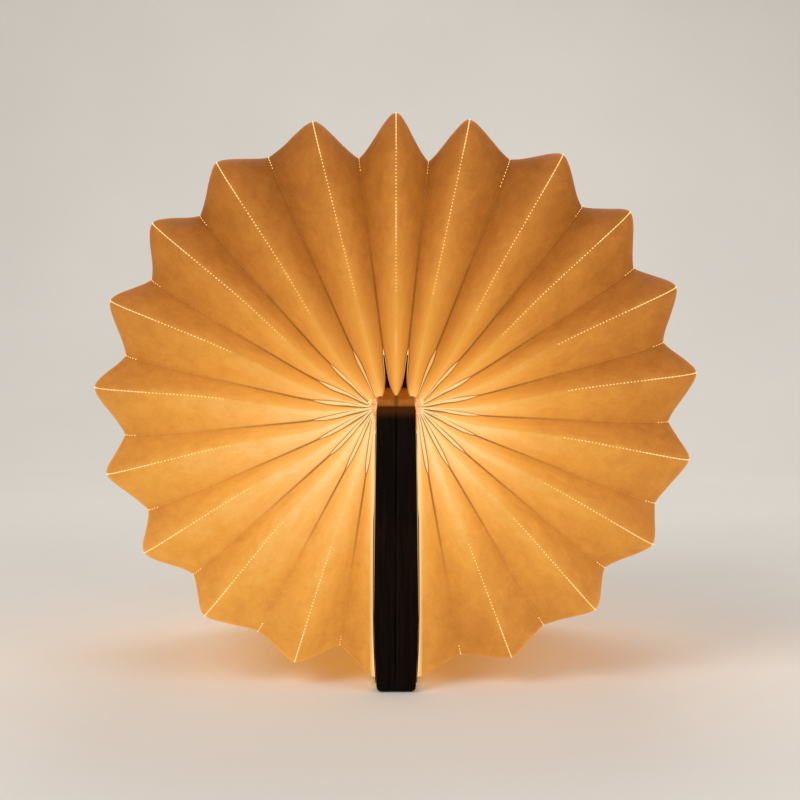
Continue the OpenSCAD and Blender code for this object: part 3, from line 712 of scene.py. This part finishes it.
# %% Pierce the folds
DOT_LENGTH, SHORTEST, LONGEST = 1.3, 0.7, 1.25  # in widths, and the shares it varies between
lines = add(t, "GeometryNodeMeshToCurve", {0: given["Geometry"]}).outputs[0]
marks = add(t, "GeometryNodeCurveToPoints", {0: lines, "Length": given["Pinhole pitch"]}, mode="LENGTH")
hole = add(t, "GeometryNodeMeshUVSphere", {"Segments": 6, "Rings": 4, "Radius": 1.0}).outputs["Mesh"]
half = times(t, given["Pinhole width"], 0.5)
uneven = add(t, "FunctionNodeRandomValue", {2: SHORTEST, 3: LONGEST, "Seed": given["Seed"]},
             data_type="FLOAT").outputs[1]
long_half = times(t, times(t, half, DOT_LENGTH), uneven)
size = add(t, "ShaderNodeCombineXYZ", {0: half, 1: half, 2: long_half})
holes = add(t, "GeometryNodeInstanceOnPoints", {"Points": marks.outputs["Points"], "Instance": hole,
            "Rotation": marks.outputs["Rotation"], "Scale": size.outputs[0]}).outputs[0]
holes = add(t, "GeometryNodeRealizeInstances", {0: holes}).outputs[0]
holes = add(t, "GeometryNodeSetMaterial", {"Geometry": holes, "Material": given["Light"]}).outputs[0]
pleat = add(t, "GeometryNodeJoinGeometry")
t.links.new(holes, pleat.inputs[0])
t.links.new(solid, pleat.inputs[0])
t.links.new(pleat.outputs[0], add(t, "NodeGroupOutput").inputs[0])
print("pleat tree nodes:", len(t.nodes))

# %% [markdown]
# Each pleat's crease lines go in as a loose mesh of points. Edges join the ridge's points
# along most of its way, and the valley's points only round its two corners, because that
# is where the paper is pierced. The modifier's inputs are set by their identifiers, and
# the result is turned into a plain mesh.

# %% Make a finished mesh from a tree


def placed(name, data):
    """A new object at the origin for a mesh, a lamp or a camera."""
    piece = bpy.data.objects.new(name, data)
    bpy.context.scene.collection.objects.link(piece)
    return piece


def baked(name, points, edges, rim_widths, tree, values):
    """The plain mesh that a tree makes from some points, as an object."""
    start = bpy.data.meshes.new(name + "_creases")
    start.from_pydata([Vector(p) * MM for p in points], edges, [])
    start.attributes.new("rim", "FLOAT", "POINT").data.foreach_set("value", rim_widths)
    piece = placed(name, start)
    modifier = piece.modifiers.new("rule", "NODES")
    modifier.node_group = tree
    for key, value in values.items():
        modifier[key] = value
    bpy.context.view_layer.update()
    depsgraph = bpy.context.evaluated_depsgraph_get()
    mesh = bpy.data.meshes.new_from_object(piece.evaluated_get(depsgraph), depsgraph=depsgraph)
    piece.modifiers.clear()
    piece.data = mesh
    bpy.data.meshes.remove(start)
    mesh.name = name
    return piece


print("points in a pleat's creases:", 3 * STATIONS)

# %% [markdown]
# Nine whole pleats stand on each side of the top one. Their names are those of the CAD
# solids that they replace, and the seed of each one's crinkle is its own number plus 20.

# %% Make the 18 whole pleats
HOLES_NEAR_TOP, HOLES_LOW, INTO_TURN = 32, 46, 4  # where the pinholes begin: two reaches, and stations


def pleat_name(j):
    """The CAD node that a pleat stands for."""
    if j == 0:
        return "top_pleat"
    side = "left" if j > 0 else "right"
    return side + ("_end_pleat" if abs(j) == LAST else "_pleat_%d" % abs(j))


def pleat_values(j):
    """What the pleat tree is given, by its sockets' identifiers."""
    return {PLEAT["Stations"]: STATIONS, PLEAT["Corner start"]: ENDS, PLEAT["Corner steps"]: TURN,
            PLEAT["Steps"]: 12, PLEAT["Across"]: tuple(across(lean[j])),
            PLEAT["Paper thickness"]: 0.2 * MM, PLEAT["Ridge rounding"]: 1.2 * MM,
            PLEAT["Flank curve"]: 0.32, PLEAT["Crinkle height"]: 1.1 * MM,
            PLEAT["Crinkle size"]: 16 * MM, PLEAT["Seed"]: 20 + j, PLEAT["Pinhole pitch"]: 1.1 * MM,
            PLEAT["Pinhole width"]: 0.36 * MM, PLEAT["Paper"]: paper, PLEAT["Light"]: pin_light}


def pierced(first, last, row):
    """Edges between stations first and last of a row, at the front end and at the rear."""
    front, rear = row * STATIONS, row * STATIONS + STATIONS - 1
    return ([(front + i, front + i + 1) for i in range(first, last)]
            + [(rear - i, rear - i - 1) for i in range(first, last)])


def station_at(r):
    """The first station of a ridge that lies at least so far out."""
    return int(np.searchsorted(ridge_line[:ENDS, 0], r))


shade = []  # (number, side, whether it is a half pleat, piece)
for j in range(1 - LAST, LAST):
    if j == 0:
        continue
    rows = [edge_points(j, j - 1), ridge_points(j), edge_points(j, j + 1)]
    edges = pierced(station_at(HOLES_NEAR_TOP if abs(j) < 4 else HOLES_LOW), STATIONS // 2, 1)
    for k, row in ((j - 1, 0), (j + 1, 2)):
        flat_fold = {j, k} == {-1, -2}
        edges += pierced(ENDS - 1 if flat_fold else ENDS + INTO_TURN, ENDS + TURN, row)
    rim_widths = np.concatenate([rims(j, j - 1), np.zeros(STATIONS), rims(j, j + 1)])
    piece = baked(pleat_name(j), np.concatenate(rows), edges, rim_widths, pleat_tree, pleat_values(j))
    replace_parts(piece, pleat_name(j))
    shade.append((j, "left" if j > 0 else "right", False, piece))
print("whole pleats:", len(shade), "faces each:", len(piece.data.polygons))

# %% [markdown]
# An end pleat is half a pleat: its flank runs from the valley to the crease that lies
# along the cover. The top pleat is made as two halves too, because in the real lamp each
# half folds with its own cover. A half's other row is the same crease again, moved a hair
# across, so that the one tree serves here too. On the top pleat that hair is also drawn in
# towards the root, where it doesn't show.

# %% Make the half pleats on the covers and at the top
END_HAIR, TOP_HAIR, DRAWN_IN = 0.3, 0.04, 0.995
top_root = np.array([0, 0, root(0)[1]])
no_rim, no_edge = np.zeros(STATIONS), np.full(STATIONS, -FAR)  # the second keeps dark lines off
for j, k in ((LAST, LAST - 1), (-LAST, 1 - LAST), (0, 1), (0, -1)):
    way = 1 if k < j else -1
    side = "left" if j + k > 0 else "right"
    hair = ridge_points(j) + across(lean[j]) * way * END_HAIR
    if j == 0:
        hair = top_root + (ridge_points(0) - top_root) * DRAWN_IN + across(0) * way * TOP_HAIR
    rows, rim_widths = [edge_points(j, k), ridge_points(j), hair], [rims(j, k), no_rim, no_edge]
    edges = pierced(station_at(HOLES_NEAR_TOP), STATIONS // 2, 1) if k == 1 else []
    if j == 0:
        edges += pierced(ENDS + INTO_TURN, ENDS + TURN, 0 if way > 0 else 2)
    if way < 0:
        rows, rim_widths = rows[::-1], rim_widths[::-1]
    name = pleat_name(j) if j else "top_pleat_" + side
    piece = baked(name, np.concatenate(rows), edges, np.concatenate(rim_widths), pleat_tree, pleat_values(j))
    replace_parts(piece, pleat_name(j))
    shade.append((j, side, True, piece))
print("pleats and halves in all:", len(shade))

# %% [markdown]
# When the book shuts, each pleat turns about its own pole and flattens between its
# neighbours. Here each pleat is only hung on a body: the top pleat's halves on the spine,
# the end halves on their covers and each whole pleat on its own, and each gets its own
# copy of its mesh.

# %% Let every pleat ride with its body
for j, side, half, piece in shade:
    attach(piece, "spine" if j == 0 else side + "_cover" if half else pleat_name(j))
    anchor = ridge_points(j)[ENDS // 2] * MM if abs(j) == LAST else (root(j)[0] * MM, 0, root(j)[1] * MM)
    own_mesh(piece)

# %% [markdown]
# ## The covers
# Dark oiled walnut, with its grain up the cover. The layers of the wood show as faint
# upright streaks on the ends, so the noise is stretched along Y and Z. The lit paper's light
# on the boards' top edges is painted in as a warm glow.

# %% Oiled walnut
walnut, tree, shader = material("oiled walnut", 0.5, Specular_IOR_Level=0.05, Emission_Strength=1.0)
where = here(tree)
grain = noise(tree, stretched(tree, where, (1.0, 0.16, 0.05)), 950, 6, 0.6, 0.8)
pores = noise(tree, stretched(tree, where, (1.0, 1.0, 0.05)), 3200, 2, 0.5)
drift = noise(tree, where, 35, 2)
tone = plus(tree, times(tree, grain, 0.75), times(tree, drift, 0.3))
wood = ramp(tree, tone, [(0.3, "#050201"), (0.5, "#0c0502"), (0.62, "#160a04"), (0.78, "#2b1509")])
pore = between(tree, pores, 0.62, 0.72)
wood = blend_colour(tree, times(tree, pore, 0.6), wood, colour("#050201"))
tree.links.new(wood, shader.inputs["Base Color"])
z = add(tree, "ShaderNodeSeparateXYZ", {0: where}).outputs[2]
# painted light: the lit paper's amber light on the boards' top edges, given off as a glow
paper_light_on_top = blend_colour(tree, between(tree, z, 0.086, 0.0903), colour("#000000"), colour("#4a2102"))
tree.links.new(paper_light_on_top, shader.inputs["Emission Color"])
tree.links.new(between(tree, pores, 0.4, 0.75, 0.38, 0.6), shader.inputs["Roughness"])
bump(tree, shader, minus(tree, grain, times(tree, pore, 0.5)), 0.00008, 0.5)
print("walnut nodes:", len(tree.nodes))

# %% [markdown]
# The boards keep the CAD's shape. A copy of each one is merged, because its triangles are
# loose, and gets fine rounded edges from a Bevel modifier, which catch the light.

# %% Covers with eased edges


def merged_copy(node, name):
    """A CAD node's mesh as a new object, with its loose triangles joined into flat faces."""
    mesh = bpy.data.meshes.new(name)
    bm = bmesh.new()
    bm.from_mesh(frame["nodes"][node].data)
    bmesh.ops.remove_doubles(bm, verts=bm.verts, dist=WELD)
    bmesh.ops.dissolve_limit(bm, angle_limit=math.radians(1), verts=bm.verts, edges=bm.edges)
    bm.to_mesh(mesh)
    bm.free()
    return placed(name, mesh)


def smoothed(mesh):
    """Shades a mesh's faces smoothly."""
    for face in mesh.polygons:
        face.use_smooth = True


def eased(piece, width, segments=2):
    """Small rounded edges where faces meet at more than 30 degrees."""
    bevel = piece.modifiers.new("eased edges", "BEVEL")
    bevel.width, bevel.segments, bevel.limit_method = width, segments, "ANGLE"
    bevel.angle_limit = math.radians(30)
    bevel.harden_normals = True
    smoothed(piece.data)
    return piece


for side in ("left", "right"):
    board = eased(merged_copy(side + "_board", side + "_cover_board"), 0.1 * MM)
    board.data.materials.append(walnut)
    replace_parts(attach(board, side + "_cover"), side + "_board")
    print(board.name, "faces:", len(board.data.polygons))

# %% [markdown]
# ## Linings, hinge cloth and spine strip
# The inner sides of the covers are papered, with their end faces stained like the wood. A
# cream cloth strip turns with each cover and is rolled round the glued roots of the folds,
# which makes a small pale collar beside the spine. The strip on the spine is brown
# leathercloth, pressed over a crease, and so is the ramp on it that leads up to the light
# bar. On the leathercloth, the dark line along the crease, the darkening towards the ramp's
# top and that at the strip's foot are painted shade. All of them stand in the lamp's own
# light, so each gives off some of its colour.

# %% Lining paper, hinge cloth and leathercloth
lining, tree, shader = material("lining paper", 0.8, Emission_Strength=0.55)
tint = ramp(tree, noise(tree, here(tree), 120, 5), [(0.3, "#d9a860"), (0.7, "#f0c988")])
facing = add(tree, "ShaderNodeNewGeometry").outputs["Normal"]
end_face = sums(tree, "ABSOLUTE", add(tree, "ShaderNodeSeparateXYZ", {0: facing}).outputs[1])
tint = blend_colour(tree, between(tree, end_face, 0.5, 0.8), tint, colour("#110703"))
lights_itself(tree, shader, tint)

cloth, tree, shader = material("cream hinge cloth", 0.9, Emission_Strength=0.5)
where = here(tree)
weave = add(tree, "ShaderNodeTexWave", {"Vector": where, "Scale": 380.0}, bands_direction="Y").outputs["Fac"]
weft = add(tree, "ShaderNodeTexWave", {"Vector": where, "Scale": 380.0}, bands_direction="Z").outputs["Fac"]
threads = times(tree, weave, weft)
tint = ramp(tree, plus(tree, times(tree, threads, 0.35), noise(tree, where, 420, 4)),
            [(0.35, "#bd7c3c"), (0.75, "#e9b172")])
lights_itself(tree, shader, tint)
bump(tree, shader, threads, 0.0001)

leather, tree, shader = material("brown leathercloth", 0.6, Specular_IOR_Level=0.25, Emission_Strength=0.5)
where = here(tree)
x, _, z = add(tree, "ShaderNodeSeparateXYZ", {0: where}).outputs
pebbles = add(tree, "ShaderNodeTexVoronoi", {"Vector": where, "Scale": 1900.0}).outputs["Distance"]
tint = ramp(tree, noise(tree, where, 260, 4), [(0.3, "#784006"), (0.7, "#92520e")])
# painted shade: a dark line along the crease over the spine
crease_shade = between(tree, sums(tree, "ABSOLUTE", x), 0.0002, 0.0011, 0.5, 0.0)
tint = blend_colour(tree, crease_shade, tint, colour("#3c1c05"))
# painted shade: darker towards the ramp's top, and at the strip's foot below
tint = blend_colour(tree, between(tree, z, 0.094, 0.0956, 0.0, 0.85), tint, colour("#2a1308"))
tint = blend_colour(tree, between(tree, z, 0.0903, 0.0911, 0.4, 0.0), tint, colour("#2a1308"))
lights_itself(tree, shader, tint)
bump(tree, shader, pebbles, 0.00012)
print("leathercloth nodes:", len(tree.nodes))

# %% [markdown]
# The collar is lofted: one cross-section in X and Z, repeated along the spine and drawn in
# a little at both ends, then smoothed. Its lower part lies thin against the cover.

# %% Loft the two collars
COLLAR = [(0.05, 82.0), (0.05, 86.0), (0.05, 89.6), (-0.22, 90.4), (-0.26, 91.3), (-0.05, 92.1),
          (0.55, 92.6), (1.2, 92.2), (1.7, 91.2), (1.85, 90.0), (1.55, 88.7), (1.0, 87.5),
          (0.55, 86.4), (0.4, 85.0), (0.4, 82.0)]  # millimetres out from the cover, and up
ROLL_MIDDLE = np.array([6.9, 90.0])
END_Y, MAIN_FROM, MAIN_RINGS = 60.25, 0.5, 25
NECK = [(0.0, 0.82), (0.15, 0.95)]  # distance in from an end, and the share of the full size there


def collar_ring(side, y, shrink):
    """The cross-section at y, shrunk about the middle of the roll."""
    flat = np.array([[cover_face(z) + out, z] for out, z in COLLAR])
    flat = ROLL_MIDDLE + (flat - ROLL_MIDDLE) * shrink
    return [(side * px * MM, y * MM, pz * MM) for px, pz in flat]


def lofted(name, rings):
    """A closed skin over rings of equally many points, with its faces turned outwards."""
    n = len(rings[0])
    quads = [(i * n + k, i * n + (k + 1) % n, (i + 1) * n + (k + 1) % n, (i + 1) * n + k)
             for i in range(len(rings) - 1) for k in range(n)]
    ends = [tuple(range(n))[::-1], tuple(range((len(rings) - 1) * n, len(rings) * n))]
    mesh = bpy.data.meshes.new(name)
    mesh.from_pydata([p for ring in rings for p in ring], [], quads + ends)
    bm = bmesh.new()
    bm.from_mesh(mesh)
    bmesh.ops.recalc_face_normals(bm, faces=bm.faces)
    bm.to_mesh(mesh)
    bm.free()
    return placed(name, mesh)


for side, name in ((-1, "left"), (1, "right")):
    steps = [(near - END_Y, shrink) for near, shrink in NECK]
    steps += [(y, 1.0) for y in np.linspace(MAIN_FROM - END_Y, END_Y - MAIN_FROM, MAIN_RINGS)]
    steps += [(END_Y - near, shrink) for near, shrink in NECK[::-1]]
    collar = lofted(name + "_collar", [collar_ring(side, y, shrink) for y, shrink in steps])
    collar.data.materials.append(cloth)
    smooth = collar.modifiers.new("smooth", "SUBSURF")
    smooth.levels = smooth.render_levels = 2
    smoothed(collar.data)
    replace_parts(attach(collar, name + "_cover"), name + "_hinge_cloth")
    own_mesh(collar)
    print(collar.name, "faces before smoothing:", len(collar.data.polygons))

# %% [markdown]
# ## Small parts
# What is inside the light bar hardly shows, so each small part gets a plain finish: two
# close tones that drift into each other, and a fine relief. A table holds them all.

# %% Small parts' finishes


def plain_finish(name, dark, light, scale, roughness, **values):
    """A finish whose colour drifts between two tones, with fine relief."""
    m, tree, shader = material(name, roughness, **values)
    speck = noise(tree, here(tree), scale, 4)
    tree.links.new(ramp(tree, speck, [(0.3, dark), (0.7, light)]), shader.inputs["Base Color"])
    bump(tree, shader, speck, 0.00003, 0.5)
    return m


# the dark plastic's red-brown tint is partly painted light: the lamp's amber light falling on it
amber_lit_plastic = plain_finish("dark moulded plastic", "#280304", "#360508", 1500, 0.6, Specular_IOR_Level=0.08)
steel = plain_finish("bright steel", "#b4b2ae", "#d8d6d2", 2500, 0.28, Metallic=1.0)
white_mask = plain_finish("white board mask", "#dedbd2", "#f2efe6", 900, 0.45)
green_mask = plain_finish("green board mask", "#0e3a22", "#175231", 900, 0.4)
foil = plain_finish("cell's foil wrap", "#8f949a", "#b9bec4", 600, 0.35, Metallic=0.6)
resin = plain_finish("black chip resin", "#101012", "#1e1e21", 2500, 0.5)
gilt = plain_finish("gilt pins", "#b98a35", "#e0b45a", 1500, 0.3, Metallic=1.0)
foam = plain_finish("grey foam tape", "#3c3d3f", "#515254", 1200, 0.9)
red = plain_finish("red lead", "#8e1712", "#b0261d", 1500, 0.5)
black = plain_finish("black lead", "#121214", "#212124", 1500, 0.5)
nickel = plain_finish("nickel-plated magnet", "#9b9a96", "#c6c4bf", 2000, 0.3, Metallic=1.0)
diffuser = plain_finish("glowing diffuser", "#c9a877", "#d8b98a", 300, 0.5,
                        Emission_Color=colour("#ffd08c"), Emission_Strength=0.7)
phosphor = plain_finish("lit phosphor", "#ffd76a", "#ffe9a6", 800, 0.4,
                        Emission_Color=colour("#ffe0a0"), Emission_Strength=1.5)
print("materials in all:", len(bpy.data.materials))

# %% [markdown]
# The solids that keep their CAD shape are dressed where they stand: their material slots
# are filled, and nothing else about them changes.

# %% Dress the solids that keep their CAD shape
dress = {
    lining: ("left_lining", "right_lining"), leather: ("spine_strip", "front_ramp"),
    diffuser: ("bar_diffuser",), phosphor: ("lamps",), foam: ("bar_tape", "battery_pad"),
    nickel: ("left_magnets", "right_magnets", "sensor_magnet"),
    amber_lit_plastic: ("bar_tray", "front_cap", "socket_housing"), steel: ("cap_screws", "socket_shell"),
    white_mask: ("led_board",), green_mask: ("control_board",), foil: ("battery_cell",),
    resin: ("board_parts", "fold_sensor", "socket_tongue"), gilt: ("link_pins",),
    red: ("red_lead",), black: ("black_lead",),
}
for finish, nodes in dress.items():
    for node in nodes:
        for slot in frame["nodes"][node].material_slots:
            slot.material = finish
print("solids dressed:", sum(len(nodes) for nodes in dress.values()))

# %% [markdown]
# ## Floor, light and camera
# A pale sweep stands behind the lamp and curves up out of the floor, so that no horizon
# line shows.

# %% Floor and backdrop
FLOOR_W, FRONT_Y, BACK_Y, BACK_R, BACK_H = 3.0, -1.6, 1.1, 0.5, 1.6  # metres
sweep, tree, shader = material("pale studio sweep", 0.9, Specular_IOR_Level=0.1)
tree.links.new(ramp(tree, noise(tree, here(tree), 6, 2), [(0.3, "#e4e0da"), (0.7, "#e8e4de")]),
               shader.inputs["Base Color"])
bend = [math.radians(a) for a in range(0, 91, 6)]
profile = [(BACK_Y - BACK_R + BACK_R * math.sin(a), BACK_R - BACK_R * math.cos(a)) for a in bend]
profile = [(FRONT_Y, 0.0)] + profile + [(BACK_Y, BACK_H)]
points = [(x, y, z) for y, z in profile for x in (-FLOOR_W / 2, FLOOR_W / 2)]
faces = [(2 * i, 2 * i + 1, 2 * i + 3, 2 * i + 2) for i in range(len(profile) - 1)]
floor_mesh = bpy.data.meshes.new("floor")
floor_mesh.from_pydata(points, [], faces)
floor_mesh.materials.append(sweep)
smoothed(floor_mesh)
placed("floor", floor_mesh)
print("faces of the sweep:", len(faces))

# %% [markdown]
# Soft lamps from both sides and from behind, and a pale world, light the lamp plainly, so
# that its own glow tells the rest.

# %% Lamps and world
world = bpy.data.worlds.new("studio")
world.use_nodes = True
world.node_tree.nodes["Background"].inputs["Color"].default_value = colour("#f2efe9")
world.node_tree.nodes["Background"].inputs["Strength"].default_value = 0.45
bpy.context.scene.world = world
AIM = Vector((0, 0, 0.1))


def soft_lamp(name, place, size, power):
    """A square lamp, turned towards the middle of the shade."""
    lamp = bpy.data.lights.new(name, "AREA")
    lamp.shape, lamp.size, lamp.energy = "SQUARE", size, power
    holder = placed(name, lamp)
    holder.location = place
    holder.rotation_euler = (AIM - Vector(place)).to_track_quat("-Z", "Y").to_euler()


soft_lamp("key", (-0.7, -0.8, 0.9), 0.7, 7)
soft_lamp("fill", (0.8, -0.7, 0.6), 0.8, 4)
soft_lamp("back", (0.1, 0.7, 0.9), 0.6, 3)
print("lamps:", len(bpy.data.lights))

# %% [markdown]
# The camera stands a little above the middle of the shade, looks slightly down, and sees
# the lamp along its spine, with a long lens that keeps the folds' depth calm.

# %% Camera
EYE, LENS, DOWN, TO_RIGHT = (-0.0005, -0.549, 0.1233), 70.9, 3.63, 0.2
camera = bpy.data.cameras.new("view")
camera.lens, camera.sensor_width = LENS, 36
eye = placed("view", camera)
eye.location = EYE
eye.rotation_euler = (math.radians(90 - DOWN), 0, math.radians(-TO_RIGHT))
bpy.context.scene.camera = eye
bpy.context.scene.view_settings.view_transform = "Standard"
print("camera distance: %.3f m" % Vector(EYE).length)
